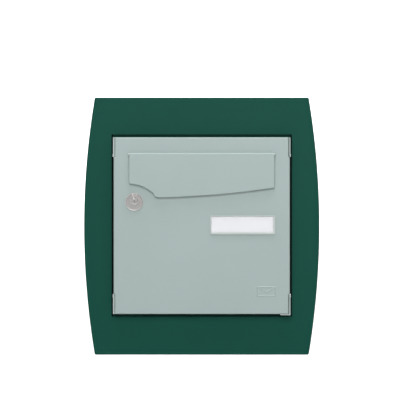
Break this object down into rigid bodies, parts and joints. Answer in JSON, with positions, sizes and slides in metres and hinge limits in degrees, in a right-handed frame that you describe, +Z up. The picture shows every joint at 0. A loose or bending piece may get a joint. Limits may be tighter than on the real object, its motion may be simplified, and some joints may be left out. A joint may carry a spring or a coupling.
{
  "type": "letter box",
  "caption": "Steel letter box with a raised letter flap and a hinged, lockable door, set in a dark green sheet-steel surround with bowed sides.",
  "frame": {"origin": "centre of the door opening, in the plane in which the surround's rear lip bears on the fence or wall", "axes": "+X to the right seen from the street, +Y from the street inwards, +Z up"},
  "size_m": [0.375, 0.376, 0.41],
  "materials": {
    "green_paint": "satin, fine texture",
    "grey_paint": "satin",
    "grey_plastic": "satin moulded",
    "zinc_steel": "zinc plated",
    "dark_steel": "matt black coat",
    "satin_chrome": "satin",
    "rubber": "matt",
    "nylon": "natural",
    "label_paper": "uncoated",
    "clear_plastic": "clear, glossy"
  },
  "bodies": {
    "casing": {"surround": "green_paint", "casing_shell": "grey_paint", "casing_back": "grey_paint", "back_rivet_lower_left": "zinc_steel", "back_rivet_lower_right": "zinc_steel", "back_rivet_upper_left": "zinc_steel", "back_rivet_upper_right": "zinc_steel", "chute_rivet_left": "zinc_steel", "chute_rivet_right": "zinc_steel", "lug_lower_left": "grey_plastic", "lug_lower_right": "grey_plastic", "lug_upper_left": "grey_plastic", "lug_upper_right": "grey_plastic", "hinge_bracket_top": "zinc_steel", "hinge_pin_top": "zinc_steel", "hinge_pin_bottom": "zinc_steel", "strike_plate": "zinc_steel", "chute": "zinc_steel", "side_bracket_left": "dark_steel", "side_bracket_right": "dark_steel", "bracket_screw_lower_left": "zinc_steel", "bracket_screw_lower_right": "zinc_steel", "bracket_screw_upper_left": "zinc_steel", "bracket_screw_upper_right": "zinc_steel", "stud_lower_left": "zinc_steel", "stud_lower_right": "zinc_steel", "stud_upper_left": "zinc_steel", "stud_upper_right": "zinc_steel", "clamp_bar_left": "zinc_steel", "clamp_bar_right": "zinc_steel", "washer_lower_left": "zinc_steel", "washer_lower_right": "zinc_steel", "washer_upper_left": "zinc_steel", "washer_upper_right": "zinc_steel", "clamp_nut_lower_left": "zinc_steel", "clamp_nut_lower_right": "zinc_steel", "clamp_nut_upper_left": "zinc_steel", "clamp_nut_upper_right": "zinc_steel", "door_buffer_lower": "rubber", "door_buffer_upper": "rubber"},
    "door": {"door_panel": "grey_paint", "hinge_washer_top": "nylon", "hinge_bush_bottom": "nylon", "lock_rosette": "satin_chrome", "lock_barrel": "satin_chrome", "lock_nut": "zinc_steel", "name_holder": "grey_plastic", "name_label": "label_paper", "name_window": "clear_plastic", "flap_rod": "zinc_steel", "flap_bracket_left": "grey_plastic", "flap_bracket_right": "grey_plastic"},
    "flap": {"flap": "grey_paint", "flap_pad_left": "rubber", "flap_pad_right": "rubber"},
    "plug": {"lock_plug": "satin_chrome", "lock_cam": "zinc_steel", "cam_screw": "zinc_steel"}
  },
  "joints": [
    {"name": "door_hinge", "type": "hinge", "parent": "casing", "child": "door", "pos_m": [0.1306, -0.0247, 0], "axis": [0, 0, 1], "range_deg": [0, 100]},
    {"name": "flap_hinge", "type": "hinge", "parent": "door", "child": "flap", "pos_m": [0, -0.03145, 0.11275], "axis": [-1, 0, 0], "range_deg": [0, 75]},
    {"name": "lock_turn", "type": "hinge", "parent": "door", "child": "plug", "pos_m": [-0.1065, -0.029, 0.0405], "axis": [0, 1, 0], "range_deg": [0, 90]}
  ]
}
